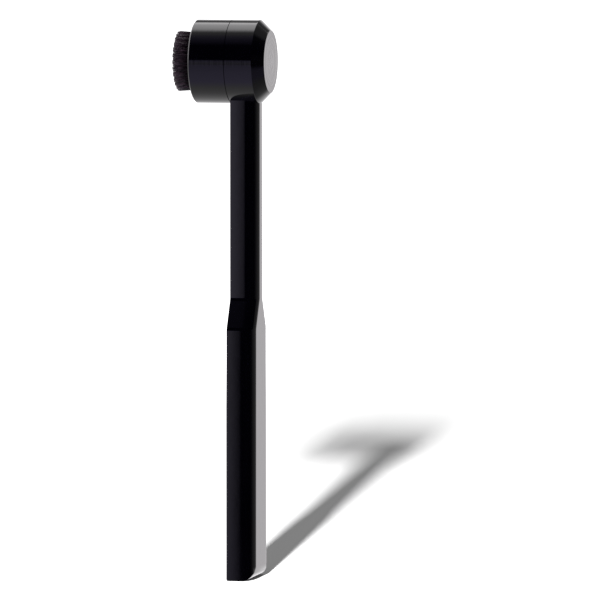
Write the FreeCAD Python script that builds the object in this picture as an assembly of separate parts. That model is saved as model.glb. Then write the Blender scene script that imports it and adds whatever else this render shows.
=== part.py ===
"""Hammer-shaped hand brush with a round brush head whose front collar screws off.

Millimetres, +Z up. The origin is in the middle of the handle's foot. The head's axis is
parallel to X: the bristles point along -X and the plain back disc faces +X.
"""

import FreeCAD, Part
import math
import os

Vector = FreeCAD.Vector

# Overall
TOTAL_HEIGHT = 201.0
HEAD_RADIUS = 15.0
HEAD_AXIS_Z = TOTAL_HEIGHT - HEAD_RADIUS

# Handle bar
BAR_HALF_THICKNESS = 5.0
BACK_EDGE_RADIUS = 4.6
FRONT_EDGE_RADIUS = 0.2
FOOT_FRONT_RADIUS = 0.8
GRIP_WIDTH_AT_FOOT = 24.4
GRIP_WIDTH_AT_SHOULDER = 23.6
NECK_WIDTH_AT_SHOULDER = 12.4
NECK_WIDTH_AT_HEAD = 12.1
SHOULDER_LOW_Z = 90.5
SHOULDER_HIGH_Z = 101.0
NECK_TOP_Z = HEAD_AXIS_Z - 12.0

# Head housing, stations along X
BACK_X = 8.7
BACK_CHAMFER = 3.8
BACK_EDGE_ROUNDING = 0.25
SEAM_X = -5.2
SEAM_GAP = 0.05
SEAM_BEVEL = 0.1
SPIGOT_RADIUS = 12.0
SPIGOT_FRONT_X = -11.8
HOUSING_BORE_RADIUS = 10.08
HOUSING_BORE_FLOOR_X = 3.8

# Seal at the foot of the spigot
SEAL_GROOVE_RADIUS = 11.2
SEAL_GROOVE_FRONT_X = -7.2
O_RING_SECTION_RADIUS = 0.75
O_RING_X = -6.3

# Front collar
COLLAR_FRONT_X = -18.5
COLLAR_RIM_BEVEL = 0.45
COLLAR_RIM_ROUNDING = 0.12
COLLAR_THREAD_RADIUS = 12.25
COLLAR_SEAL_RADIUS = 12.75
COLLAR_SEAL_FRONT_X = -7.4
COLLAR_LIP_X = -15.0
COLLAR_MOUTH_RADIUS = 11.0
MOUTH_BEVEL = 0.3

# Retaining ring and thrust washer inside the collar
RING_GROOVE_RADIUS = 13.0
RING_GROOVE_PLAY = 0.05
RING_OUTER_RADIUS = 12.95
RING_INNER_RADIUS = 10.4
RING_FRONT_X = -13.0
RING_THICKNESS = 0.8
RING_GAP_WIDTH = 5.0
WASHER_OUTER_RADIUS = 12.0
WASHER_INNER_RADIUS = 10.25
WASHER_THICKNESS = 0.4
WASHER_PLAY = 0.05

# Brush core
CORE_FRONT_X = -17.0
CORE_FACE_RADIUS = 10.9
CORE_FACE_BEVEL = 0.3
CORE_FLANGE_RADIUS = 11.9
CORE_FLANGE_BACK_X = -13.5
CORE_TAIL_RADIUS = 10.0
CORE_TAIL_BORE_RADIUS = 8.6
CORE_TAIL_BACK_X = -1.0

# Bristle tufts
TUFT_HOLE_RADIUS = 0.85
TUFT_HOLE_DEPTH = 3.0
TUFT_PLAY = 0.02
TUFT_TIP_RADIUS = 0.98
TUFT_TIP_X = -25.3
TUFT_RING_PITCH = 2.35
TUFTS_PER_RING_STEP = 7
TUFT_RINGS = 4
TUFT_FLARE = 1.037
ANCHOR_WIDTH = 1.5
ANCHOR_THICKNESS = 0.3
ANCHOR_HEIGHT = 1.2

# Key that stops the core turning in the housing
KEY_RADIUS = 1.0
KEY_X = -8.5
KEY_INNER_RADIUS = 8.9
KEY_OUTER_RADIUS = 11.85
KEY_SLOT_WIDTH = 2.3
KEY_SLOT_END_PLAY = 0.2

# Screw joint between neck and head, depths below the head's axis
SCREW_SEAT_DEPTH = 13.0
SCREW_SEAT_RADIUS = 3.3
SCREW_RADIUS = 1.5
SCREW_CLEARANCE_RADIUS = 1.7
SCREW_HEAD_RADIUS = 2.75
SCREW_HEAD_HEIGHT = 2.0
SCREW_LENGTH = 8.0
SOCKET_SIDES = 6
SOCKET_ACROSS_FLATS = 2.0
SOCKET_DEPTH = 1.2
LOCK_WASHER_RADIUS = 3.0
LOCK_WASHER_BORE_RADIUS = 1.6
LOCK_WASHER_THICKNESS = 0.6
LOCK_WASHER_SPLIT = 0.5
INSERT_RADIUS = 2.1
INSERT_WAIST_RADIUS = 1.85
INSERT_BORE_RADIUS = 1.52
INSERT_TOP_DEPTH = 15.4
INSERT_LENGTH = 5.6
DOWEL_RADIUS = 0.75
DOWEL_X = 3.4
DOWEL_TOP_DEPTH = 13.6
DOWEL_BOTTOM_DEPTH = 19.0


def turned(outline):
    """Solid of revolution about the head's axis from (x, radius, rounding) corners.

    A corner given without its rounding stays sharp.
    """
    corners = []
    for corner in outline:
        rounding = corner[2] if len(corner) > 2 else 0
        corners.append((corner[0], 0, HEAD_AXIS_Z + corner[1], rounding))
    face = Part.Face(rounded_outline(corners))
    return face.revolve(Vector(0, 0, HEAD_AXIS_Z), Vector(1, 0, 0), 360)


def turned_upright(outline):
    """Solid of revolution about Z from (radius, depth below the head's axis) corners."""
    points = [Vector(radius, 0, HEAD_AXIS_Z - depth) for radius, depth in outline]
    face = Part.Face(Part.makePolygon(points + points[:1]))
    return face.revolve(Vector(0, 0, 0), Vector(0, 0, 1), 360)


def upright_hole(radius, top_depth, bottom_depth, x=0.0):
    """Cylinder along Z between two depths below the head's axis."""
    low = Vector(x, 0, HEAD_AXIS_Z - bottom_depth)
    return Part.makeCylinder(radius, bottom_depth - top_depth, low)


def rounded_outline(corners):
    """Closed wire through (x, y, z, corner radius) points, with an arc at each round corner."""
    count = len(corners)
    places = [Vector(x, y, z) for x, y, z, radius in corners]
    entries = []
    exits = []
    arcs = []
    for index in range(count):
        here = places[index]
        radius = corners[index][3]
        back = (places[index - 1] - here).normalize()
        ahead = (places[(index + 1) % count] - here).normalize()
        half_angle = back.getAngle(ahead) / 2
        reach = radius / math.tan(half_angle)
        middle = (back + ahead).normalize()
        centre = here + middle * (radius / math.sin(half_angle))
        entries.append(here + back * reach)
        exits.append(here + ahead * reach)
        arcs.append(centre - middle * radius)
    edges = []
    for index in range(count):
        if corners[index][3] > 0:
            edges.append(Part.Arc(entries[index], arcs[index], exits[index]).toShape())
        following = entries[(index + 1) % count]
        edges.append(Part.LineSegment(exits[index], following).toShape())
    return Part.Wire(edges)


def bar_section(width, z):
    """Section of the bar: nearly square front corners, large round back corners."""
    half_width = width / 2
    front = -BAR_HALF_THICKNESS
    back = BAR_HALF_THICKNESS
    return rounded_outline([
        (front, -half_width, z, FRONT_EDGE_RADIUS),
        (back, -half_width, z, BACK_EDGE_RADIUS),
        (back, half_width, z, BACK_EDGE_RADIUS),
        (front, half_width, z, FRONT_EDGE_RADIUS),
    ])


def foot_rounding(side, radius):
    """What is cut from the foot's front (side -1) or back (side +1) edge to round it."""
    width = GRIP_WIDTH_AT_FOOT + 2
    centre_x = side * (BAR_HALF_THICKNESS - radius)
    outer_x = side * (BAR_HALF_THICKNESS + 1)
    low_x = min(centre_x, outer_x)
    block = Part.makeBox(abs(outer_x - centre_x), width, radius + 1, Vector(low_x, -width / 2, -1))
    rod = Part.makeCylinder(radius, width, Vector(centre_x, -width / 2, radius), Vector(0, 1, 0))
    return block.cut(rod)


def housing_envelope():
    """The rear body of the head with no bore, which the neck's top is shaped to."""
    return turned([
        (SEAM_X, 0),
        (BACK_X, 0),
        (BACK_X, HEAD_RADIUS - BACK_CHAMFER, BACK_EDGE_ROUNDING),
        (BACK_X - BACK_CHAMFER, HEAD_RADIUS, BACK_EDGE_ROUNDING),
        (SEAM_X, HEAD_RADIUS),
    ])


def make_handle_bar():
    bar = Part.makeLoft([
        bar_section(GRIP_WIDTH_AT_FOOT, 0),
        bar_section(GRIP_WIDTH_AT_SHOULDER, SHOULDER_LOW_Z),
        bar_section(NECK_WIDTH_AT_SHOULDER, SHOULDER_HIGH_Z),
        bar_section(NECK_WIDTH_AT_HEAD, NECK_TOP_Z),
    ], True, True)
    bar = bar.cut(foot_rounding(-1, FOOT_FRONT_RADIUS))
    bar = bar.cut(foot_rounding(1, BACK_EDGE_RADIUS))
    bar = bar.cut(housing_envelope())
    insert_bottom = INSERT_TOP_DEPTH + INSERT_LENGTH
    bar = bar.cut(upright_hole(INSERT_RADIUS, SCREW_SEAT_DEPTH, insert_bottom))
    bar = bar.cut(upright_hole(SCREW_CLEARANCE_RADIUS, SCREW_SEAT_DEPTH, insert_bottom + 1))
    for x in (-DOWEL_X, DOWEL_X):
        bar = bar.cut(upright_hole(DOWEL_RADIUS, SCREW_SEAT_DEPTH, DOWEL_BOTTOM_DEPTH, x))
    return bar


def make_head_housing():
    housing = turned([
        (HOUSING_BORE_FLOOR_X, 0),
        (BACK_X, 0),
        (BACK_X, HEAD_RADIUS - BACK_CHAMFER, BACK_EDGE_ROUNDING),
        (BACK_X - BACK_CHAMFER, HEAD_RADIUS, BACK_EDGE_ROUNDING),
        (SEAM_X + SEAM_BEVEL, HEAD_RADIUS),
        (SEAM_X, HEAD_RADIUS - SEAM_BEVEL),
        (SEAM_X, SEAL_GROOVE_RADIUS),
        (SEAL_GROOVE_FRONT_X, SEAL_GROOVE_RADIUS),
        (SEAL_GROOVE_FRONT_X, SPIGOT_RADIUS),
        (SPIGOT_FRONT_X + SEAM_BEVEL, SPIGOT_RADIUS),
        (SPIGOT_FRONT_X, SPIGOT_RADIUS - SEAM_BEVEL),
        (SPIGOT_FRONT_X, HOUSING_BORE_RADIUS),
        (HOUSING_BORE_FLOOR_X, HOUSING_BORE_RADIUS),
    ])
    housing = housing.cut(upright_hole(SCREW_SEAT_RADIUS, 0, SCREW_SEAT_DEPTH))
    housing = housing.cut(upright_hole(SCREW_CLEARANCE_RADIUS, 0, HEAD_RADIUS + 1))
    for x in (-DOWEL_X, DOWEL_X):
        housing = housing.cut(upright_hole(DOWEL_RADIUS, DOWEL_TOP_DEPTH, HEAD_RADIUS + 1, x))
    key_hole = upright_hole(KEY_RADIUS, -SPIGOT_RADIUS - 1, 0, KEY_X)
    return housing.cut(key_hole)


def make_front_collar():
    back_x = SEAM_X - SEAM_GAP
    ring_back_x = RING_FRONT_X + RING_THICKNESS
    return turned([
        (back_x, COLLAR_SEAL_RADIUS),
        (back_x, HEAD_RADIUS - SEAM_BEVEL),
        (back_x - SEAM_BEVEL, HEAD_RADIUS),
        (COLLAR_FRONT_X + COLLAR_RIM_BEVEL, HEAD_RADIUS, COLLAR_RIM_ROUNDING),
        (COLLAR_FRONT_X, HEAD_RADIUS - COLLAR_RIM_BEVEL, COLLAR_RIM_ROUNDING),
        (COLLAR_FRONT_X, COLLAR_MOUTH_RADIUS + MOUTH_BEVEL),
        (COLLAR_FRONT_X + MOUTH_BEVEL, COLLAR_MOUTH_RADIUS),
        (COLLAR_LIP_X, COLLAR_MOUTH_RADIUS),
        (COLLAR_LIP_X, COLLAR_THREAD_RADIUS),
        (RING_FRONT_X - RING_GROOVE_PLAY, COLLAR_THREAD_RADIUS),
        (RING_FRONT_X - RING_GROOVE_PLAY, RING_GROOVE_RADIUS),
        (ring_back_x + RING_GROOVE_PLAY, RING_GROOVE_RADIUS),
        (ring_back_x + RING_GROOVE_PLAY, COLLAR_THREAD_RADIUS),
        (COLLAR_SEAL_FRONT_X, COLLAR_THREAD_RADIUS),
        (COLLAR_SEAL_FRONT_X, COLLAR_SEAL_RADIUS),
    ])


def make_collar_o_ring():
    major_radius = SEAL_GROOVE_RADIUS + O_RING_SECTION_RADIUS
    centre = Vector(O_RING_X, 0, HEAD_AXIS_Z)
    return Part.makeTorus(major_radius, O_RING_SECTION_RADIUS, centre, Vector(1, 0, 0))


def flat_ring(front_x, thickness, inner_radius, outer_radius):
    return turned([
        (front_x, inner_radius),
        (front_x + thickness, inner_radius),
        (front_x + thickness, outer_radius),
        (front_x, outer_radius),
    ])


def make_retaining_ring():
    ring = flat_ring(RING_FRONT_X, RING_THICKNESS, RING_INNER_RADIUS, RING_OUTER_RADIUS)
    corner = Vector(RING_FRONT_X - 1, -RING_GAP_WIDTH / 2, HEAD_AXIS_Z)
    gap = Part.makeBox(RING_THICKNESS + 2, RING_GAP_WIDTH, RING_OUTER_RADIUS + 1, corner)
    return ring.cut(gap)


def make_thrust_washer():
    front_x = RING_FRONT_X - WASHER_PLAY - WASHER_THICKNESS
    return flat_ring(front_x, WASHER_THICKNESS, WASHER_INNER_RADIUS, WASHER_OUTER_RADIUS)


def tuft_placements():
    """One list of placements per ring of tufts, from the hole's bottom along the tuft."""
    bottom_x = CORE_FRONT_X + TUFT_HOLE_DEPTH
    rings = []
    for ring in range(TUFT_RINGS + 1):
        ring_radius = ring * TUFT_RING_PITCH
        count = max(1, ring * TUFTS_PER_RING_STEP)
        placements = []
        for index in range(count):
            angle = 2 * math.pi * (index + 0.5 * (ring % 2)) / count
            across = Vector(0, math.sin(angle), math.cos(angle)) * ring_radius
            base = Vector(bottom_x, 0, HEAD_AXIS_Z) + across
            tip = Vector(TUFT_TIP_X, 0, HEAD_AXIS_Z) + across * TUFT_FLARE
            turn = FreeCAD.Rotation(Vector(0, 0, 1), tip - base)
            placements.append(FreeCAD.Placement(base, turn))
        rings.append(placements)
    return rings


def placed_copies(shape, placements):
    copies = []
    for placement in placements:
        copy = shape.copy()
        copy.Placement = placement
        copies.append(copy)
    return Part.makeCompound(copies)


def anchor_shape():
    corner = Vector(-ANCHOR_WIDTH / 2, -ANCHOR_THICKNESS / 2, 0)
    return Part.makeBox(ANCHOR_WIDTH, ANCHOR_THICKNESS, ANCHOR_HEIGHT, corner)


def tuft_shape():
    """One tuft standing on Z, folded over its anchor and opening out past the core's face."""
    length = CORE_FRONT_X + TUFT_HOLE_DEPTH - TUFT_TIP_X
    base_radius = TUFT_HOLE_RADIUS - TUFT_PLAY
    outline = [
        Vector(0, 0, 0),
        Vector(base_radius, 0, 0),
        Vector(base_radius, 0, TUFT_HOLE_DEPTH),
        Vector(TUFT_TIP_RADIUS, 0, length),
        Vector(0, 0, length),
    ]
    face = Part.Face(Part.makePolygon(outline + outline[:1]))
    tuft = face.revolve(Vector(0, 0, 0), Vector(0, 0, 1), 360)
    return tuft.cut(anchor_shape())


def make_brush_core(rings):
    flange_front_x = COLLAR_LIP_X + SEAM_GAP
    core = turned([
        (CORE_FRONT_X, 0),
        (CORE_FRONT_X, CORE_FACE_RADIUS - CORE_FACE_BEVEL),
        (CORE_FRONT_X + CORE_FACE_BEVEL, CORE_FACE_RADIUS),
        (flange_front_x, CORE_FACE_RADIUS),
        (flange_front_x, CORE_FLANGE_RADIUS),
        (CORE_FLANGE_BACK_X, CORE_FLANGE_RADIUS),
        (CORE_FLANGE_BACK_X, CORE_TAIL_RADIUS),
        (CORE_TAIL_BACK_X, CORE_TAIL_RADIUS),
        (CORE_TAIL_BACK_X, CORE_TAIL_BORE_RADIUS),
        (CORE_FLANGE_BACK_X, CORE_TAIL_BORE_RADIUS),
        (CORE_FLANGE_BACK_X, 0),
    ])
    hole = Part.makeCylinder(TUFT_HOLE_RADIUS, TUFT_HOLE_DEPTH + 1)
    for placements in rings:
        core = core.cut(placed_copies(hole, placements))
    slot_front_x = KEY_X - KEY_RADIUS - KEY_SLOT_END_PLAY
    corner = Vector(slot_front_x, -KEY_SLOT_WIDTH / 2, HEAD_AXIS_Z)
    slot = Part.makeBox(-slot_front_x, KEY_SLOT_WIDTH, CORE_TAIL_RADIUS + 1, corner)
    return core.cut(slot)


def make_key_pin():
    return upright_hole(KEY_RADIUS, -KEY_OUTER_RADIUS, -KEY_INNER_RADIUS, KEY_X)


def make_neck_screw():
    under_head = SCREW_SEAT_DEPTH - LOCK_WASHER_THICKNESS
    top = under_head - SCREW_HEAD_HEIGHT
    tip = under_head + SCREW_LENGTH
    tip_bevel = SCREW_RADIUS / 4
    screw = turned_upright([
        (0, top),
        (SCREW_HEAD_RADIUS, top),
        (SCREW_HEAD_RADIUS, under_head),
        (SCREW_RADIUS, under_head),
        (SCREW_RADIUS, tip - tip_bevel),
        (SCREW_RADIUS - tip_bevel, tip),
        (0, tip),
    ])
    corner_radius = SOCKET_ACROSS_FLATS / math.sqrt(3)
    corners = []
    for index in range(SOCKET_SIDES + 1):
        angle = 2 * math.pi * index / SOCKET_SIDES
        across = Vector(math.cos(angle), math.sin(angle), 0) * corner_radius
        corners.append(Vector(0, 0, HEAD_AXIS_Z - top) + across)
    socket = Part.Face(Part.makePolygon(corners)).extrude(Vector(0, 0, -SOCKET_DEPTH))
    return screw.cut(socket)


def make_lock_washer():
    top_depth = SCREW_SEAT_DEPTH - LOCK_WASHER_THICKNESS
    disc = upright_hole(LOCK_WASHER_RADIUS, top_depth, SCREW_SEAT_DEPTH)
    bore = upright_hole(LOCK_WASHER_BORE_RADIUS, top_depth - 1, SCREW_SEAT_DEPTH + 1)
    corner = Vector(0, -LOCK_WASHER_SPLIT / 2, HEAD_AXIS_Z - SCREW_SEAT_DEPTH - 1)
    height = LOCK_WASHER_THICKNESS + 2
    split = Part.makeBox(LOCK_WASHER_RADIUS + 1, LOCK_WASHER_SPLIT, height, corner)
    return disc.cut(bore).cut(split)


def make_neck_insert():
    top = INSERT_TOP_DEPTH
    third = INSERT_LENGTH / 3
    return turned_upright([
        (INSERT_BORE_RADIUS, top),
        (INSERT_RADIUS, top),
        (INSERT_RADIUS, top + third),
        (INSERT_WAIST_RADIUS, top + third),
        (INSERT_WAIST_RADIUS, top + 2 * third),
        (INSERT_RADIUS, top + 2 * third),
        (INSERT_RADIUS, top + INSERT_LENGTH),
        (INSERT_BORE_RADIUS, top + INSERT_LENGTH),
    ])


def make_locating_pins():
    pins = []
    for x in (-DOWEL_X, DOWEL_X):
        pins.append(upright_hole(DOWEL_RADIUS, DOWEL_TOP_DEPTH, DOWEL_BOTTOM_DEPTH, x))
    return Part.makeCompound(pins)


def make_all():
    rings = tuft_placements()
    tuft = tuft_shape()
    every_tuft = [placement for placements in rings for placement in placements]
    nodes = {
        "handle_bar": make_handle_bar(),
        "neck_insert": make_neck_insert(),
        "neck_screw": make_neck_screw(),
        "lock_washer": make_lock_washer(),
        "locating_pins": make_locating_pins(),
        "head_housing": make_head_housing(),
        "collar_o_ring": make_collar_o_ring(),
        "key_pin": make_key_pin(),
        "front_collar": make_front_collar(),
        "retaining_ring": make_retaining_ring(),
        "thrust_washer": make_thrust_washer(),
        "brush_core": make_brush_core(rings),
        "tuft_anchors": placed_copies(anchor_shape(), every_tuft),
        "bristle_tuft_centre": placed_copies(tuft, rings[0]),
    }
    for ring in range(1, TUFT_RINGS + 1):
        nodes["bristle_ring_%d" % ring] = placed_copies(tuft, rings[ring])
    return nodes


os.makedirs("parts", exist_ok=True)
for name, shape in make_all().items():
    shape.exportStep("parts/%s.step" % name)
    box = shape.BoundBox
    print("%-20s solids %3d valid %s volume %9.2f  x %.2f..%.2f y %.2f..%.2f z %.2f..%.2f" % (
        name, len(shape.Solids), shape.isValid(), shape.Volume,
        box.XMin, box.XMax, box.YMin, box.YMax, box.ZMin, box.ZMax))
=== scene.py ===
import math
import random

import bmesh
import bpy
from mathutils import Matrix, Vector


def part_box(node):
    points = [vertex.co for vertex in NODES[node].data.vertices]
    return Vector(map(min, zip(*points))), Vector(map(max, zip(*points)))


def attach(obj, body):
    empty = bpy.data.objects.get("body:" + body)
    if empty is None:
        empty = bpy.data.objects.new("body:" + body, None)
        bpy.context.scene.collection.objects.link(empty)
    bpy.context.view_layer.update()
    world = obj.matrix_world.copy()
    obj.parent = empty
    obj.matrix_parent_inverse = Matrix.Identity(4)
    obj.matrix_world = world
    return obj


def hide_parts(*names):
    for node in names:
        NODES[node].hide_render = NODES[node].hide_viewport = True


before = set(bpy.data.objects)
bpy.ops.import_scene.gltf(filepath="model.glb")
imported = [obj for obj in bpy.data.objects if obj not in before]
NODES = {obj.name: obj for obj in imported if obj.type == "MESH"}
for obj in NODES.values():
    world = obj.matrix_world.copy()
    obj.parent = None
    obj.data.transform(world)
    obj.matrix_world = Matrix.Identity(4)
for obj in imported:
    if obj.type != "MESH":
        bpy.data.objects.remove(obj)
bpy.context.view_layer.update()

MM = 0.001

# Places read from the frame, in metres. The head's axis is along X, with the bristles at -X.
HOUSING_LOW, HOUSING_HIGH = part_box("head_housing")
BAR_LOW, BAR_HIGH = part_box("handle_bar")
COLLAR_FRONT_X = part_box("front_collar")[0].x
CORE_FRONT_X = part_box("brush_core")[0].x
BRISTLE_FRONT_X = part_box("bristle_tuft_centre")[0].x
HEAD_AXIS_Z = (HOUSING_LOW.z + HOUSING_HIGH.z) / 2
HEAD_RADIUS = (HOUSING_HIGH.z - HOUSING_LOW.z) / 2

# The camera, in metres, with its lens and sensor in millimetres
VIEW_AZIMUTH = math.radians(13.4)
CAMERA_DISTANCE = 2.5
CAMERA_HEIGHT = 0.286
AIM_HEIGHT = 0.1003
AIM_RIGHT = 0.01887
LENS = 418.6
SENSOR = 36.0
CLIP_START = 0.1
CLIP_END = 60.0
TO_CAMERA = Vector((math.sin(VIEW_AZIMUTH), -math.cos(VIEW_AZIMUTH), 0))
SCREEN_RIGHT = Vector((math.cos(VIEW_AZIMUTH), math.sin(VIEW_AZIMUTH), 0))
UP = Vector((0, 0, 1))


# ---------------------------------------------------------------- node helpers

def new_material(name):
    """A node material, its node tree and its Principled shader."""
    material = bpy.data.materials.new(name)
    material.use_nodes = True
    tree = material.node_tree
    return material, tree, tree.nodes["Principled BSDF"]


def add_node(tree, kind, inputs=None, **settings):
    node = tree.nodes.new(kind)
    for key, value in settings.items():
        setattr(node, key, value)
    for key, value in (inputs or {}).items():
        node.inputs[key].default_value = value
    return node


def feed(tree, value, socket):
    """Links a node's output to a socket, or sets the socket to a constant."""
    if isinstance(value, bpy.types.NodeSocket):
        tree.links.new(value, socket)
    else:
        socket.default_value = value


def object_position(tree):
    return add_node(tree, "ShaderNodeTexCoord").outputs["Object"]


def object_axes(tree):
    """The object position's X, Y and Z outputs."""
    split = add_node(tree, "ShaderNodeSeparateXYZ")
    tree.links.new(object_position(tree), split.inputs["Vector"])
    return split.outputs["X"], split.outputs["Y"], split.outputs["Z"]


def stretched_position(tree, scale):
    """The object position scaled along each axis, so that noise on it runs in streaks."""
    node = add_node(tree, "ShaderNodeMapping", {"Scale": scale})
    tree.links.new(object_position(tree), node.inputs["Vector"])
    return node.outputs["Vector"]


def noise(tree, scale, detail=2.0, roughness=0.5, vector=None):
    node = add_node(tree, "ShaderNodeTexNoise",
                    {"Scale": scale, "Detail": detail, "Roughness": roughness})
    tree.links.new(vector or object_position(tree), node.inputs["Vector"])
    return node.outputs["Fac"]


def line_noise(tree, scale, distance):
    """Noise that changes with one distance only."""
    node = add_node(tree, "ShaderNodeTexNoise", {"Scale": scale, "Detail": 2.0}, noise_dimensions="1D")
    tree.links.new(distance, node.inputs["W"])
    return node.outputs["Fac"]


def remap(tree, value, low, high, from_low=0.0, from_high=1.0):
    """value stretched from one range to another, and clamped to it."""
    node = add_node(tree, "ShaderNodeMapRange",
                    {"From Min": from_low, "From Max": from_high, "To Min": low, "To Max": high})
    tree.links.new(value, node.inputs["Value"])
    return node.outputs["Result"]


def ramp(tree, value, stops):
    """Colour ramp through (position, colour) stops."""
    node = add_node(tree, "ShaderNodeValToRGB")
    elements = node.color_ramp.elements
    while len(elements) > 1:
        elements.remove(elements[-1])
    elements[0].position = stops[0][0]
    elements[0].color = tuple(stops[0][1]) + (1,)
    for position, colour in stops[1:]:
        elements.new(position).color = tuple(colour) + (1,)
    tree.links.new(value, node.inputs["Fac"])
    return node.outputs["Color"]


def between_tones(tree, value, limits, tones):
    """Colour that goes from one tone to the other as the value crosses the limits."""
    return ramp(tree, value, list(zip(limits, tones)))


def math_node(tree, operation, first, second=None):
    node = add_node(tree, "ShaderNodeMath", operation=operation)
    feed(tree, first, node.inputs[0])
    if second is not None:
        feed(tree, second, node.inputs[1])
    return node.outputs["Value"]


def product(tree, values):
    """All the values multiplied together."""
    result = values[0]
    for value in values[1:]:
        result = math_node(tree, "MULTIPLY", result, value)
    return result


def scaled(tree, colour, amount):
    node = add_node(tree, "ShaderNodeVectorMath", operation="SCALE")
    tree.links.new(colour, node.inputs["Vector"])
    tree.links.new(amount, node.inputs["Scale"])
    return node.outputs["Vector"]


def mix(tree, data_type, factor, first, second):
    node = add_node(tree, "ShaderNodeMix", data_type=data_type)
    feed(tree, factor, node.inputs["Factor"])
    feed(tree, first, node.inputs["A"])
    feed(tree, second, node.inputs["B"])
    return node.outputs["Result"]


def bump(tree, shader, height, depth, before=None):
    """Bumps up to depth metres high on the shader, on top of any bump before."""
    node = add_node(tree, "ShaderNodeBump", {"Distance": depth})
    tree.links.new(height, node.inputs["Height"])
    if before is not None:
        tree.links.new(before, node.inputs["Normal"])
    tree.links.new(node.outputs["Normal"], shader.inputs["Normal"])
    return node.outputs["Normal"]


# ---------------------------------------------------------------- gloss black

# Noise scales are in features per metre. LIMITS are the noise values between which a
# material goes from one tone or roughness to another.
GLOSS_BLACK = (0.00008, 0.00006, 0.00022)
GLOSS_BLACK_LIGHTER = (0.00014, 0.00010, 0.00034)
GLOSS_IOR = 1.45
TINT_SCALE = 45.0
TINT_LIMITS = (0.3, 0.7)
SMUDGE_SCALE = 120.0
SMUDGE_ROUGHNESS = (0.045, 0.085)
SMUDGE_LIMITS = (0.35, 0.7)
SPECK_SCALE = 5200.0
SPECK_ROUGHNESS = 0.16
SPECK_LIMITS = (0.74, 0.8)
WAVE_SCALE = 260.0
WAVE_DEPTH = 0.012 * MM
HAIRLINE_SCALE = 120.0
HAIRLINE_STRETCH = (60.0, 60.0, 0.6)
HAIRLINE_DEPTH = 0.0012 * MM
LATHE_MARK_SCALE = 9000.0
DISC_MARK_SCALE = 900.0
DISC_MARK_DEPTH = 0.08 * MM
DISC_MARK_SHARE_OFF_DISC = 0.12
DISC_EDGE = (11.0 * MM, 11.6 * MM)


def polished_black(name):
    """Polished black plastic, faintly wavy and smudged. Also returns the waves' normal."""
    material, tree, shader = new_material(name)
    tint = noise(tree, TINT_SCALE, detail=3.0)
    colour = between_tones(tree, tint, TINT_LIMITS, (GLOSS_BLACK, GLOSS_BLACK_LIGHTER))
    tree.links.new(colour, shader.inputs["Base Color"])
    shader.inputs["IOR"].default_value = GLOSS_IOR
    smudges = noise(tree, SMUDGE_SCALE, detail=5.0, roughness=0.62)
    smudge_roughness = remap(tree, smudges, *SMUDGE_ROUGHNESS, *SMUDGE_LIMITS)
    specks = noise(tree, SPECK_SCALE, detail=1.0)
    speck_roughness = remap(tree, specks, 0.0, SPECK_ROUGHNESS, *SPECK_LIMITS)
    roughness = math_node(tree, "ADD", smudge_roughness, speck_roughness)
    tree.links.new(roughness, shader.inputs["Roughness"])
    wave = bump(tree, shader, noise(tree, WAVE_SCALE), WAVE_DEPTH)
    return material, tree, shader, wave


def handle_black():
    """The handle's polished black, with hairlines that run up it."""
    material, tree, shader, wave = polished_black("handle_gloss_black")
    upright = stretched_position(tree, HAIRLINE_STRETCH)
    hairlines = noise(tree, HAIRLINE_SCALE, detail=3.0, roughness=0.7, vector=upright)
    bump(tree, shader, hairlines, HAIRLINE_DEPTH, before=wave)
    return material


def distance_from_head_axis(tree, y, z):
    up = math_node(tree, "SUBTRACT", z, HEAD_AXIS_Z)
    squares = math_node(tree, "ADD", math_node(tree, "POWER", y, 2.0), math_node(tree, "POWER", up, 2.0))
    return math_node(tree, "SQRT", squares)


def head_black():
    """The head's polished black, with fine lathe marks, and broader ones on the back disc."""
    material, tree, shader, wave = polished_black("head_gloss_black")
    x, y, z = object_axes(tree)
    radius = distance_from_head_axis(tree, y, z)
    # This changes all the way along the cylinder, the chamfer and the disc
    along_profile = math_node(tree, "SUBTRACT", x, radius)
    on_disc = remap(tree, radius, 1.0, DISC_MARK_SHARE_OFF_DISC, *DISC_EDGE)
    disc_marks = product(tree, [line_noise(tree, DISC_MARK_SCALE, along_profile), on_disc])
    marked = bump(tree, shader, disc_marks, DISC_MARK_DEPTH, before=wave)
    bump(tree, shader, line_noise(tree, LATHE_MARK_SCALE, along_profile), HAIRLINE_DEPTH, before=marked)
    return material


# ---------------------------------------------------------------- bristle fibre

FIBRE_TONES = [
    (0.38, (0.0020, 0.0012, 0.0019)),
    (0.50, (0.0064, 0.0038, 0.0060)),
    (0.64, (0.0170, 0.0098, 0.0145)),
]
FIBRE_TONE_SCALE = 3600.0
FIBRE_STRETCH = (0.12, 1.0, 1.0)
FIBRE_IOR = 1.5
FIBRE_SHINE = (0.38, 0.62)
FIBRE_SHINE_LIMITS = (0.25, 0.75)
FIBRE_ROUGHNESS = (0.30, 0.5)
FIBRE_ROUGHNESS_SCALE = 3000.0
# Painted shade at the roots and painted light at the tips, as shares of the filaments' colour; painted
# light on the lowest tufts, full below the first height and gone above the second
ROOT_PAINTED_SHADE = 0.1
TIP_PAINTED_LIGHT = 1.9
UNDERSIDE_PAINTED_LIGHT = 1.9
UNDERSIDE_LIGHT_FULL_Z = HEAD_AXIS_Z - 10 * MM
UNDERSIDE_LIGHT_END_Z = HEAD_AXIS_Z - 5 * MM


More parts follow.
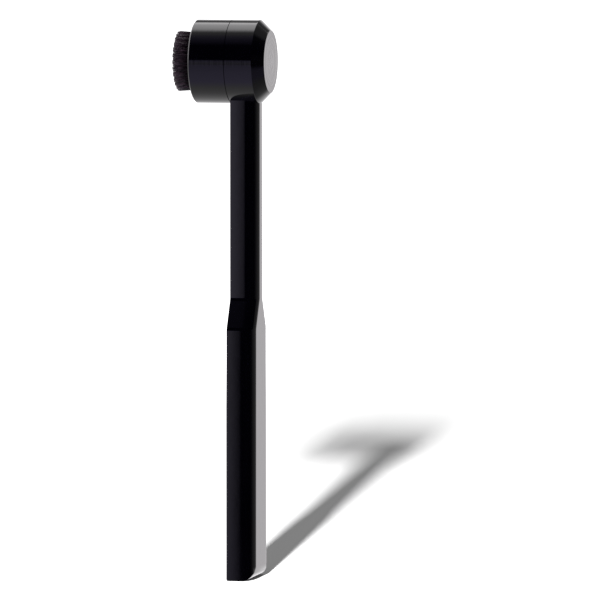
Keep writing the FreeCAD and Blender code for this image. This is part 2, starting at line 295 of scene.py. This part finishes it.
def bristle_fibre():
    """Dark brown filaments, with painted shade towards the roots and painted light on the tips and the
    lowest tufts.
    """
    material, tree, shader = new_material("bristle_fibre")
    tone = noise(tree, FIBRE_TONE_SCALE, detail=1.0, vector=stretched_position(tree, FIBRE_STRETCH))
    x, _, z = object_axes(tree)
    # Painted shade darkens the filaments towards their roots in the collar, painted light brightens the
    # tips, and more painted light brightens the lowest tufts as if lit from the floor
    reach = remap(tree, x, 1.0, 0.0, BRISTLE_FRONT_X, COLLAR_FRONT_X)
    painted_root_shade_tip_light = remap(tree, math_node(tree, "POWER", reach, 2.0), ROOT_PAINTED_SHADE, TIP_PAINTED_LIGHT)
    painted_underside_light = remap(tree, z, UNDERSIDE_PAINTED_LIGHT, 1.0, UNDERSIDE_LIGHT_FULL_Z, UNDERSIDE_LIGHT_END_Z)
    painted_light_and_shade = product(tree, [painted_root_shade_tip_light, painted_underside_light])
    tree.links.new(scaled(tree, ramp(tree, tone, FIBRE_TONES), painted_light_and_shade), shader.inputs["Base Color"])
    # The painted light and shade also scale the specular level, a painted sheen
    shine_with_painted_light = product(tree, [painted_light_and_shade, remap(tree, tone, *FIBRE_SHINE_LIMITS, *FIBRE_SHINE)])
    tree.links.new(shine_with_painted_light, shader.inputs["Specular IOR Level"])
    roughness = remap(tree, noise(tree, FIBRE_ROUGHNESS_SCALE), *FIBRE_ROUGHNESS)
    tree.links.new(roughness, shader.inputs["Roughness"])
    shader.inputs["IOR"].default_value = FIBRE_IOR
    return material


# ---------------------------------------------------------------- inner parts' materials

STEEL_GREY = (0.56, 0.56, 0.57)
SPRING_GREY = (0.34, 0.34, 0.36)
BRASS_YELLOW = (0.80, 0.60, 0.30)
METAL_GRAIN_SCALE = 1800.0
METAL_GRAIN_DEPTH = 0.008 * MM
METAL_DARK_SHARE = 0.72
METAL_LIMITS = (0.25, 0.65)
MOTTLE_LIMITS = (0.3, 0.7)


def metal(name, colour, roughness, stretch):
    """Metal with a fine grain, whose lines lie across the axis that the stretch is largest along."""
    material, tree, shader = new_material(name)
    shader.inputs["Metallic"].default_value = 1.0
    across = stretched_position(tree, stretch)
    grain = noise(tree, METAL_GRAIN_SCALE, detail=3.0, roughness=0.6, vector=across)
    darker = tuple(METAL_DARK_SHARE * value for value in colour)
    toned = between_tones(tree, grain, METAL_LIMITS, (darker, colour))
    tree.links.new(toned, shader.inputs["Base Color"])
    tree.links.new(remap(tree, grain, *roughness), shader.inputs["Roughness"])
    bump(tree, shader, grain, METAL_GRAIN_DEPTH)
    return material


def mottled(name, tones, tone_scale, roughness, roughness_scale, grain_scale, grain_depth):
    """Plastic or rubber whose colour, roughness and surface vary a little."""
    material, tree, shader = new_material(name)
    colour = between_tones(tree, noise(tree, tone_scale, detail=4.0), MOTTLE_LIMITS, tones)
    tree.links.new(colour, shader.inputs["Base Color"])
    uneven = remap(tree, noise(tree, roughness_scale, detail=3.0), *roughness)
    tree.links.new(uneven, shader.inputs["Roughness"])
    bump(tree, shader, noise(tree, grain_scale), grain_depth)
    return material


def core_plastic():
    """Matt black moulded plastic."""
    return mottled("core_matt_black",
                   tones=((0.010, 0.009, 0.011), (0.020, 0.018, 0.021)), tone_scale=900.0,
                   roughness=(0.42, 0.62), roughness_scale=2500.0,
                   grain_scale=6000.0, grain_depth=0.010 * MM)


def seal_rubber():
    """Dull black rubber."""
    return mottled("seal_rubber",
                   tones=((0.008, 0.008, 0.008), (0.020, 0.019, 0.019)), tone_scale=1400.0,
                   roughness=(0.35, 0.6), roughness_scale=3000.0,
                   grain_scale=4000.0, grain_depth=0.010 * MM)


def washer_nylon():
    """Ivory nylon that lets a little light in."""
    material = mottled("washer_nylon",
                       tones=((0.60, 0.57, 0.50), (0.72, 0.70, 0.63)), tone_scale=1100.0,
                       roughness=(0.35, 0.5), roughness_scale=2600.0,
                       grain_scale=5000.0, grain_depth=0.008 * MM)
    shader = material.node_tree.nodes["Principled BSDF"]
    shader.inputs["Subsurface Weight"].default_value = 0.15
    shader.inputs["Subsurface Radius"].default_value = (MM, MM, MM)
    return material


# ---------------------------------------------------------------- object and mesh helpers

def add_object(name, data):
    new_object = bpy.data.objects.new(name, data)
    bpy.context.scene.collection.objects.link(new_object)
    return new_object


def aim(thing, target):
    """Turns a camera or lamp to face a point."""
    thing.rotation_euler = (target - thing.location).to_track_quat("-Z", "Y").to_euler()


def mesh_object(name, bm, material, body, replaced=()):
    """Makes the bmesh a smooth-shaded piece that rides on a body."""
    bmesh.ops.recalc_face_normals(bm, faces=bm.faces)
    mesh = bpy.data.meshes.new(name)
    bm.to_mesh(mesh)
    bm.free()
    mesh.shade_smooth()
    piece = add_object(name, mesh)
    mesh.materials.append(material)
    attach(piece, body)
    if replaced:
        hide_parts(*replaced)
    return piece


def add_ring(bm, points):
    return [bm.verts.new(point) for point in points]


def join_rings(bm, rings):
    """Quads between each closed ring and the next one of the same length."""
    for first, second in zip(rings, rings[1:]):
        for index in range(len(first)):
            after = (index + 1) % len(first)
            bm.faces.new((first[index], first[after], second[after], second[index]))


def cap_ends(bm, rings):
    bm.faces.new(rings[0])
    bm.faces.new(rings[-1])


# ---------------------------------------------------------------- handle

HALF_THICKNESS = (BAR_HIGH.x - BAR_LOW.x) / 2
HALF_FOOT_WIDTH = (BAR_HIGH.y - BAR_LOW.y) / 2
GRIP_TAPER = 0.4 * MM
HALF_GRIP_WIDTH = HALF_FOOT_WIDTH - GRIP_TAPER
HALF_NECK_WIDTH_LOW = 6.2 * MM
HALF_NECK_WIDTH_HIGH = 6.05 * MM
SHOULDER_LOW_Z = 90.5 * MM
SHOULDER_HIGH_Z = 101.0 * MM
NECK_TOP_BELOW_AXIS = 12 * MM
NECK_TOP_Z = HEAD_AXIS_Z - NECK_TOP_BELOW_AXIS
NECK_RUN_INTO_HEAD = 0.4 * MM
FRONT_EDGE_RADIUS = 0.2 * MM
BACK_EDGE_RADIUS = 4.6 * MM
FOOT_FRONT_RADIUS = 0.8 * MM
SIDE_STEPS = 8
BACK_ARC_STEPS = 24
FRONT_ARC_STEPS = 4
HANDLE_SHARP_ANGLE = math.radians(35)

# The shoulders' corners are softened over this length either way
SHOULDER_SOFTENING = 0.5 * MM
SOFTENING_SAMPLES = (-1, -0.5, 0, 0.5, 1)

# Heights of the handle's rings: on the grip, about each shoulder corner, and on the neck
GRIP_RINGS_Z = [5 * MM, 30 * MM, 60 * MM, 88 * MM]
CORNER_RING_SHARES = (-1.5, -1, -0.5, 0, 0.5, 1, 1.5)
NECK_RINGS_Z = [104 * MM, 125 * MM, 148 * MM, 168 * MM]

# How far each side face's crown turns at its front and its back edge
GRIP_CROWN = (math.radians(-1.5), math.radians(1.5))
NECK_CROWN = (math.radians(-2.3), math.radians(0.6))


def mixed(first, second, share):
    return first + (second - first) * share


def half_width_at(z):
    """Half the bar's width at a height, before the shoulders' corners are softened."""
    if z <= SHOULDER_LOW_Z:
        return mixed(HALF_FOOT_WIDTH, HALF_GRIP_WIDTH, z / SHOULDER_LOW_Z)
    if z <= SHOULDER_HIGH_Z:
        share = (z - SHOULDER_LOW_Z) / (SHOULDER_HIGH_Z - SHOULDER_LOW_Z)
        return mixed(HALF_GRIP_WIDTH, HALF_NECK_WIDTH_LOW, share)
    share = (z - SHOULDER_HIGH_Z) / (NECK_TOP_Z - SHOULDER_HIGH_Z)
    return mixed(HALF_NECK_WIDTH_LOW, HALF_NECK_WIDTH_HIGH, share)


def softened_half_width(z):
    """Half width averaged over a short length, which rounds the shoulders' corners."""
    total = 0.0
    for offset in SOFTENING_SAMPLES:
        total += half_width_at(max(0.0, z + offset * SHOULDER_SOFTENING))
    return total / len(SOFTENING_SAMPLES)


def arc_points(centre, radius, start, end, steps):
    """(x, y) points of an arc. Angles are measured from +y towards +x."""
    points = []
    for step in range(steps + 1):
        angle = mixed(start, end, step / steps)
        points.append((centre[0] + radius * math.sin(angle), centre[1] + radius * math.cos(angle)))
    return points


def half_section(half_width, crown):
    """(x, y) points from the front face round the side to the back face, tangent throughout."""
    start, end = crown
    front_x = FRONT_EDGE_RADIUS - HALF_THICKNESS
    back_x = HALF_THICKNESS - BACK_EDGE_RADIUS
    reach = BACK_EDGE_RADIUS * math.sin(end) - FRONT_EDGE_RADIUS * math.sin(start)
    side_radius = (back_x - front_x + reach) / (math.sin(end) - math.sin(start))
    side_x = back_x - (side_radius - BACK_EDGE_RADIUS) * math.sin(end)
    side_y = half_width - side_radius
    front_y = side_y + (side_radius - FRONT_EDGE_RADIUS) * math.cos(start)
    back_y = side_y + (side_radius - BACK_EDGE_RADIUS) * math.cos(end)
    quarter = math.pi / 2
    front = arc_points((front_x, front_y), FRONT_EDGE_RADIUS, -quarter, start, FRONT_ARC_STEPS)
    side = arc_points((side_x, side_y), side_radius, start, end, SIDE_STEPS)
    back = arc_points((back_x, back_y), BACK_EDGE_RADIUS, end, quarter, BACK_ARC_STEPS)
    return front + side[1:-1] + back


def bar_section(z):
    """The bar's whole outline at a height: one side, then its mirror image back to the front."""
    share = min(1.0, max(0.0, (z - SHOULDER_LOW_Z) / (SHOULDER_HIGH_Z - SHOULDER_LOW_Z)))
    crown = [mixed(grip, neck, share) for grip, neck in zip(GRIP_CROWN, NECK_CROWN)]
    half = half_section(softened_half_width(z), crown)
    return half + [(x, -y) for x, y in reversed(half)]


def rise(radius, past):
    """Height of a rounded edge above its flat, at a distance past the flat's end."""
    return radius - math.sqrt(max(0.0, radius ** 2 - past ** 2))


def foot_height(x):
    """Height of the rounded foot above the table."""
    back_start = HALF_THICKNESS - BACK_EDGE_RADIUS
    front_start = FOOT_FRONT_RADIUS - HALF_THICKNESS
    if x > back_start:
        return rise(BACK_EDGE_RADIUS, x - back_start)
    if x < front_start:
        return rise(FOOT_FRONT_RADIUS, front_start - x)
    return 0.0


def top_height(y):
    """Underside of the head over the neck, plus the run into it."""
    reach = HEAD_RADIUS - NECK_RUN_INTO_HEAD
    return HEAD_AXIS_Z - math.sqrt(reach ** 2 - y ** 2)


def handle_heights():
    """Heights of the rings between the foot and the head, closer at the shoulders."""
    heights = list(GRIP_RINGS_Z)
    for corner in (SHOULDER_LOW_Z, SHOULDER_HIGH_Z):
        for share in CORNER_RING_SHARES:
            heights.append(corner + share * SHOULDER_SOFTENING)
    return heights + NECK_RINGS_Z


def cap_across(bm, ring):
    """Strips of quads between the two mirrored halves of a ring."""
    count = len(ring)
    for index in range(count // 2 - 1):
        opposite = count - 1 - index
        bm.faces.new((ring[index], ring[index + 1], ring[opposite - 1], ring[opposite]))


def make_handle(material):
    bm = bmesh.new()
    rings = [add_ring(bm, [(x, y, foot_height(x)) for x, y in bar_section(0.0)])]
    for z in handle_heights():
        rings.append(add_ring(bm, [(x, y, z) for x, y in bar_section(z)]))
    rings.append(add_ring(bm, [(x, y, top_height(y)) for x, y in bar_section(NECK_TOP_Z)]))
    join_rings(bm, rings)
    cap_across(bm, rings[0])
    cap_across(bm, rings[-1])
    handle = mesh_object("handle_surface", bm, material, "handle_and_head",
                         ["handle_bar"])
    handle.data.set_sharp_from_angle(angle=HANDLE_SHARP_ANGLE)
    weighted = handle.modifiers.new("weighted", "WEIGHTED_NORMAL")
    weighted.keep_sharp = True


# ---------------------------------------------------------------- thread

THREAD_PITCH = 1.5 * MM
SPIGOT_RADIUS = 12.0 * MM
COLLAR_THREAD_RADIUS = 12.25 * MM
THREAD_START_X = HOUSING_LOW.x + 0.9 * MM
THREAD_END_X = HOUSING_LOW.x + 4.1 * MM
COLLAR_THREAD_SHIFT = 0.2 * MM
RIDGE_HEIGHT = 0.17 * MM
RIDGE_HALF_WIDTH = 0.62 * MM
RIDGE_CREST_HALF_WIDTH = 0.12 * MM
RIDGE_SINK = 0.02 * MM
RIDGE_STEPS_PER_TURN = 72
RIDGE_FADE_STEPS = RIDGE_STEPS_PER_TURN / 4
RIDGE_SHARP_ANGLE = math.radians(20)


def ridge_profile(surface_radius, outward, fade):
    """(shift along the axis, radius) of the ridge's two feet and two crest edges."""
    base = surface_radius - outward * RIDGE_SINK
    crest = surface_radius + outward * mixed(-RIDGE_SINK, RIDGE_HEIGHT, fade)
    return [(-RIDGE_HALF_WIDTH, base), (-RIDGE_CREST_HALF_WIDTH, crest),
            (RIDGE_CREST_HALF_WIDTH, crest), (RIDGE_HALF_WIDTH, base)]


def make_thread(name, surface_radius, outward, first_x, phase, body, material):
    """Helical ridge on the spigot (outward 1) or in the collar (outward -1), fading at both ends."""
    bm = bmesh.new()
    steps = round((THREAD_END_X - first_x) / THREAD_PITCH * RIDGE_STEPS_PER_TURN)
    rows = []
    for step in range(steps + 1):
        angle = phase + math.tau * step / RIDGE_STEPS_PER_TURN
        x = first_x + THREAD_PITCH * step / RIDGE_STEPS_PER_TURN
        fade = min(1.0, step / RIDGE_FADE_STEPS, (steps - step) / RIDGE_FADE_STEPS)
        points = []
        for shift, radius in ridge_profile(surface_radius, outward, fade):
            points.append((x + shift, -radius * math.sin(angle), HEAD_AXIS_Z + radius * math.cos(angle)))
        rows.append(add_ring(bm, points))
    join_rings(bm, rows)
    cap_ends(bm, rows)
    ridge = mesh_object(name, bm, material, body)
    ridge.data.set_sharp_from_angle(angle=RIDGE_SHARP_ANGLE)


def make_threads(material):
    """Ridges of one right-hand thread. The collar's starts half a turn round and further back."""
    make_thread("spigot_thread", SPIGOT_RADIUS, 1, THREAD_START_X, 0.0,
                "handle_and_head", material)
    make_thread("collar_thread", COLLAR_THREAD_RADIUS, -1, THREAD_START_X + COLLAR_THREAD_SHIFT, math.pi,
                "collar", material)


# ---------------------------------------------------------------- bristles

TUFT_RINGS = 4
TUFTS_PER_STEP = 7
RING_PITCH = 2.35 * MM
TUFT_FLARE = 1.037
TUFT_ROOT_RADIUS = 0.80 * MM
TUFT_TIP_RADIUS = 1.14 * MM
TUFT_DOME = 0.16 * MM
TUFT_LEAN = 0.035 * MM
TUFT_SHORTNESS = 0.03 * MM
ROOT_DEPTH = 0.5 * MM
FILAMENTS_PER_TUFT = 96
FILAMENT_RADIUS = 0.068 * MM
FILAMENT_TAPER = 0.12
FILAMENT_END_SHARE = 0.62
FILAMENT_SIDES = 5
FILAMENT_STEPS = 3
FILAMENT_TURN = 0.25
FILAMENT_JITTER = 0.03 * MM
FILAMENT_BOW = 0.02 * MM
FILAMENT_SHORTNESS = 0.05 * MM
FILAMENT_SHORTNESS_SPREAD = 0.03 * MM
GOLDEN_ANGLE = math.pi * (3 - math.sqrt(5))
BRISTLE_SEED = 900


def tuft_centres(ring):
    """(y, z) places of one ring's tufts about the axis. Every other ring is half a step round."""
    count = max(1, ring * TUFTS_PER_STEP)
    places = []
    for index in range(count):
        angle = math.tau * (index + 0.5 * (ring % 2)) / count
        places.append((math.sin(angle) * ring * RING_PITCH, math.cos(angle) * ring * RING_PITCH))
    return places


def random_across(dice, spread):
    """A random shift at right angles to the head's axis."""
    return Vector((0, dice.gauss(0, spread), dice.gauss(0, spread)))


def add_filament(bm, root, tip, bow, dice):
    """A thin rod from root to tip with a slight bow and a narrower end."""
    phase = dice.uniform(0, math.tau)
    rings = []
    for step in range(FILAMENT_STEPS + 1):
        share = step / FILAMENT_STEPS
        centre = root.lerp(tip, share) + bow * (4 * share * (1 - share))
        radius = FILAMENT_RADIUS * (1 - FILAMENT_TAPER * share)
        if step == FILAMENT_STEPS:
            radius *= FILAMENT_END_SHARE
        points = []
        for side in range(FILAMENT_SIDES):
            angle = phase + math.tau * side / FILAMENT_SIDES
            points.append(centre + Vector((0, math.cos(angle), math.sin(angle))) * radius)
        rings.append(add_ring(bm, points))
    join_rings(bm, rings)
    cap_ends(bm, rings)


def add_tuft(bm, y, z, dice):
    """Filaments spread evenly over one tuft, which widens, leans and has a slightly domed end."""
    root_centre = Vector((CORE_FRONT_X + ROOT_DEPTH, y, HEAD_AXIS_Z + z))
    lean = random_across(dice, TUFT_LEAN)
    shorter = abs(dice.gauss(0, TUFT_SHORTNESS))
    tip_centre = Vector((BRISTLE_FRONT_X + shorter, y * TUFT_FLARE, HEAD_AXIS_Z + z * TUFT_FLARE)) + lean
    for index in range(FILAMENTS_PER_TUFT):
        spread = math.sqrt((index + 0.5) / FILAMENTS_PER_TUFT)
        angle = index * GOLDEN_ANGLE + dice.uniform(-FILAMENT_TURN, FILAMENT_TURN)
        across = Vector((0, math.cos(angle), math.sin(angle))) * spread
        root = root_centre + across * TUFT_ROOT_RADIUS
        tip = tip_centre + across * TUFT_TIP_RADIUS + random_across(dice, FILAMENT_JITTER)
        tip.x += max(0.0, dice.gauss(FILAMENT_SHORTNESS, FILAMENT_SHORTNESS_SPREAD))
        tip.x += TUFT_DOME * spread ** 4
        bow = random_across(dice, FILAMENT_BOW)
        add_filament(bm, root, tip, bow, dice)


def make_bristle_ring(ring, material):
    dice = random.Random(BRISTLE_SEED + ring)
    bm = bmesh.new()
    for y, z in tuft_centres(ring):
        add_tuft(bm, y, z, dice)
    name = "bristle_ring_%d" % ring if ring else "bristle_tuft_centre"
    mesh_object("filaments_%s" % name, bm, material, "brush_cartridge", [name])


# ---------------------------------------------------------------- surroundings and light

WHITE = (1, 1, 1, 1)
NEUTRAL = (1.0, 0.985, 1.0)
FAINT_BLUE = (0.97, 0.91, 1.16)
BLUISH = (0.94, 0.86, 1.32)
FAINT_PINK = (0.975, 0.945, 0.970)
BRIGHTEST = 4.0
FILL_LEVEL = 0.275
SEEN_LEVEL = 1.05

# Radiance round a circle from behind, under, towards the camera, over the top and back again:
# degrees up from the camera's side, level, tint
OVERHEAD_LEVELS = [
    (-180, 1.2, NEUTRAL), (-150, 1.18, NEUTRAL), (-124, 1.08, NEUTRAL), (-112, 0.95, NEUTRAL),
    (-98, 0.78, NEUTRAL), (-80, 0.68, NEUTRAL), (-60, 0.58, BLUISH), (-33, 0.53, BLUISH),
    (-15, 0.44, BLUISH), (-10, 0.40, BLUISH), (-6.5, 0.26, FAINT_BLUE), (-3, 0.30, FAINT_BLUE),
    (2.6, 0.27, BLUISH), (5.0, 0.18, BLUISH), (6.2, 0.002, BLUISH), (50, 0.003, BLUISH),
    (57, 0.06, BLUISH), (70, 0.15, BLUISH), (80, 0.28, FAINT_BLUE), (86, 0.42, NEUTRAL),
    (92, 0.46, NEUTRAL), (97, 1.4, NEUTRAL), (101, 2.6, NEUTRAL), (105, 3.35, NEUTRAL),
    (112, 3.45, NEUTRAL), (124, 3.05, NEUTRAL), (136, 3.5, NEUTRAL), (139, 1.1, NEUTRAL),
    (143, 0.27, NEUTRAL), (153, 0.24, NEUTRAL), (164, 1.3, NEUTRAL), (180, 1.3, NEUTRAL),
]

# Radiance near the horizon: degrees round from the camera, right positive, then level
HORIZON_LEVELS = [
    (-170, 1.2), (-150, 2.0), (-110, 2.2), (-92, 1.7), (-84, 0.0), (58, 0.005), (66, 0.02),
    (75, 0.07), (86, 0.16), (99, 0.22), (114, 0.25), (132, 0.27), (140, 0.5), (145, 1.28),
    (153, 1.42), (161, 1.6), (175, 1.4),
]

# Sideways, a direction is measured by its part to the right, from -1 to 1. The overhead band,
# with its middle a little to the left, and the floor fade there to the share left beyond.
BAND_OFFSET = 0.06
BAND_FADE = (0.50, 0.64)
BAND_BEYOND = 0.06
FLOOR_FADE = (0.46, 0.60)
FLOOR_BEYOND = 0.32

# The low strip in front and behind, which is bright on the left only
STRIP_LEFT_LEVEL = 2.6
STRIP_FADE = (-0.515, -0.40)
STRIP_TOP = (math.radians(6), math.radians(14))

# Where the horizon's levels take over: on the right, and behind on the left
RIGHT_START = 0.02
RIGHT_TOP = (0.12, 0.26)
LEFT_END = -0.39
LEFT_BOTTOM = (-0.06, 0.04)
LEFT_TOP = (0.30, 0.42)


def part_along(tree, direction, axis):
    node = add_node(tree, "ShaderNodeVectorMath", operation="DOT_PRODUCT")
    tree.links.new(direction, node.inputs[0])
    node.inputs[1].default_value = axis
    return node.outputs["Value"]


def levels_by_angle(tree, angle, levels):
    """Colour at an angle in radians, from (degrees, level, tint) stops, as a share of BRIGHTEST."""
    position = math_node(tree, "ADD", math_node(tree, "DIVIDE", angle, math.tau), 0.5)
    stops = []
    for degrees, level, tint in levels:
        stops.append(((degrees + 180) / 360, [level * part / BRIGHTEST for part in tint]))
    return ramp(tree, position, stops)


def overhead_band(tree, towards, sideways, upward):
    """The long soft box overhead and the white floor, which end at each side."""
    over_the_top = math_node(tree, "ARCTAN2", upward, towards)
    overhead = levels_by_angle(tree, over_the_top, OVERHEAD_LEVELS)
    off_centre = math_node(tree, "ABSOLUTE", math_node(tree, "ADD", sideways, BAND_OFFSET))
    above = math_node(tree, "GREATER_THAN", upward, 0.0)
    width_above = remap(tree, off_centre, 1.0, BAND_BEYOND, *BAND_FADE)
    width_below = remap(tree, sideways, 1.0, FLOOR_BEYOND, *FLOOR_FADE)
    width = mix(tree, "FLOAT", above, width_below, width_above)
    strip = remap(tree, sideways, STRIP_LEFT_LEVEL, 0.0, *STRIP_FADE)
    clear_of_strip = remap(tree, math_node(tree, "ABSOLUTE", over_the_top), 0.0, 1.0, *STRIP_TOP)
    strip_or_all = mix(tree, "FLOAT", clear_of_strip, strip, 1.0)
    return scaled(tree, overhead, product(tree, [width, strip_or_all]))


def horizon_share(tree, towards, sideways, upward):
    """1 where the horizon's own levels show: all along the right, and behind on the left."""
    from_horizon = math_node(tree, "ABSOLUTE", upward)
    right = product(tree, [
        math_node(tree, "GREATER_THAN", sideways, RIGHT_START),
        remap(tree, from_horizon, 1.0, 0.0, *RIGHT_TOP),
    ])
    behind_left = product(tree, [
        math_node(tree, "LESS_THAN", sideways, LEFT_END),
        math_node(tree, "LESS_THAN", towards, 0.0),
        remap(tree, upward, 0.0, 1.0, *LEFT_BOTTOM),
        remap(tree, from_horizon, 1.0, 0.0, *LEFT_TOP),
    ])
    return math_node(tree, "MAXIMUM", right, behind_left)


def background(tree, colour, strength):
    node = add_node(tree, "ShaderNodeBackground", {"Strength": strength})
    feed(tree, colour, node.inputs["Color"])
    return node.outputs["Background"]


def mix_shader(tree, factor, first, second):
    node = add_node(tree, "ShaderNodeMixShader")
    tree.links.new(factor, node.inputs["Fac"])
    tree.links.new(first, node.inputs[1])
    tree.links.new(second, node.inputs[2])
    return node.outputs["Shader"]


def studio_world():
    """Mirrored surroundings, an even fill for matt surfaces, and plain white for the camera."""
    world = bpy.data.worlds.new("studio")
    bpy.context.scene.world = world
    world.use_nodes = True
    # Sampled as a lamp, the surroundings would light matt surfaces too, instead of the fill
    world.cycles.sampling_method = "NONE"
    tree = world.node_tree
    tree.nodes.clear()
    direction = add_node(tree, "ShaderNodeTexCoord").outputs["Generated"]
    towards = part_along(tree, direction, TO_CAMERA)
    sideways = part_along(tree, direction, SCREEN_RIGHT)
    upward = part_along(tree, direction, UP)
    turn = math_node(tree, "ARCTAN2", sideways, towards)
    horizon_levels = [(degrees, level, FAINT_PINK) for degrees, level in HORIZON_LEVELS]
    horizon = levels_by_angle(tree, turn, horizon_levels)
    band = overhead_band(tree, towards, sideways, upward)
    surroundings = mix(tree, "RGBA", horizon_share(tree, towards, sideways, upward), band, horizon)

    path = add_node(tree, "ShaderNodeLightPath")
    mirrored = background(tree, surroundings, BRIGHTEST)
    fill = background(tree, WHITE, FILL_LEVEL)
    seen = background(tree, WHITE, SEEN_LEVEL)
    lighting = mix_shader(tree, path.outputs["Is Diffuse Ray"], mirrored, fill)
    surface = mix_shader(tree, path.outputs["Is Camera Ray"], lighting, seen)
    output = add_node(tree, "ShaderNodeOutputWorld")
    tree.links.new(surface, output.inputs["Surface"])


# The lamp's place and size in metres, and its power
KEY_DISTANCE = 1.15
KEY_HEIGHT = 0.605
KEY_ASIDE = math.radians(7.3)
KEY_WIDTH = 0.042
KEY_TALL = 0.15
KEY_POWER = 35.0


def key_light():
    """Low, narrow lamp in front that throws the long shadow and lights the floor evenly."""
    data = bpy.data.lights.new("key", "AREA")
    data.shape = "ELLIPSE"
    data.size = KEY_WIDTH
    data.size_y = KEY_TALL
    data.energy = KEY_POWER
    data.use_nodes = True
    tree = data.node_tree
    falloff = add_node(tree, "ShaderNodeLightFalloff", {"Strength": 1.0})
    tree.links.new(falloff.outputs["Constant"], tree.nodes["Emission"].inputs["Strength"])
    key = add_object("key", data)
    key.location = TO_CAMERA * KEY_DISTANCE - SCREEN_RIGHT * KEY_DISTANCE * math.tan(KEY_ASIDE)
    key.location.z = KEY_HEIGHT
    aim(key, Vector((0, 0, 0)))
    key.visible_glossy = False
    key.visible_camera = False


# ---------------------------------------------------------------- floor

FLOOR_REACH = 30.0
FLOOR_GREY = (0.8, 0.8, 0.8, 1)
SWEEP_START = 0.68
SWEEP_END = 0.95
SWEEP_GLOW = 1.05


def floor_white():
    """Matt white that glows further off, where the floor turns into a lit sweep."""
    material, tree, shader = new_material("floor_white")
    shader.inputs["Base Color"].default_value = FLOOR_GREY
    shader.inputs["Roughness"].default_value = 1.0
    shader.inputs["Specular IOR Level"].default_value = 0.0
    shader.inputs["Emission Color"].default_value = WHITE
    length = add_node(tree, "ShaderNodeVectorMath", operation="LENGTH")
    tree.links.new(object_position(tree), length.inputs[0])
    glow = remap(tree, length.outputs["Value"], 0.0, SWEEP_GLOW, SWEEP_START, SWEEP_END)
    tree.links.new(glow, shader.inputs["Emission Strength"])
    return material


def pale_floor():
    bm = bmesh.new()
    corners = [(-1, -1), (1, -1), (1, 1), (-1, 1)]
    bm.faces.new([bm.verts.new((x * FLOOR_REACH, y * FLOOR_REACH, 0)) for x, y in corners])
    mesh = bpy.data.meshes.new("floor")
    bm.to_mesh(mesh)
    bm.free()
    mesh.materials.append(floor_white())
    floor = add_object("floor", mesh)
    floor.visible_glossy = False


# ---------------------------------------------------------------- assembly

def photo_camera():
    data = bpy.data.cameras.new("camera")
    data.lens = LENS
    data.sensor_width = SENSOR
    data.clip_start = CLIP_START
    data.clip_end = CLIP_END
    camera = add_object("camera", data)
    camera.location = TO_CAMERA * CAMERA_DISTANCE + UP * CAMERA_HEIGHT
    aim(camera, SCREEN_RIGHT * AIM_RIGHT + UP * AIM_HEIGHT)
    bpy.context.scene.camera = camera


def paint_cad_nodes(head):
    steel = metal("fastener_steel", STEEL_GREY, roughness=(0.2, 0.4), stretch=(1, 1, 12))
    spring = metal("spring_steel", SPRING_GREY, roughness=(0.25, 0.45), stretch=(12, 1, 1))
    brass = metal("brass", BRASS_YELLOW, roughness=(0.2, 0.4), stretch=(1, 1, 8))
    chosen = {
        "head_housing": head,
        "front_collar": head,
        "brush_core": core_plastic(),
        "collar_o_ring": seal_rubber(),
        "thrust_washer": washer_nylon(),
        "retaining_ring": spring,
        "neck_insert": brass,
        "tuft_anchors": brass,
        "neck_screw": steel,
        "lock_washer": steel,
        "locating_pins": steel,
        "key_pin": steel,
    }
    for name, material in chosen.items():
        mesh = NODES[name].data
        mesh.materials.clear()
        mesh.materials.append(material)


def main():
    photo_camera()
    studio_world()
    key_light()
    pale_floor()
    head = head_black()
    paint_cad_nodes(head)
    make_handle(handle_black())
    make_threads(head)
    fibre = bristle_fibre()
    for ring in range(TUFT_RINGS + 1):
        make_bristle_ring(ring, fibre)
    bpy.context.scene.view_settings.view_transform = "Standard"


main()
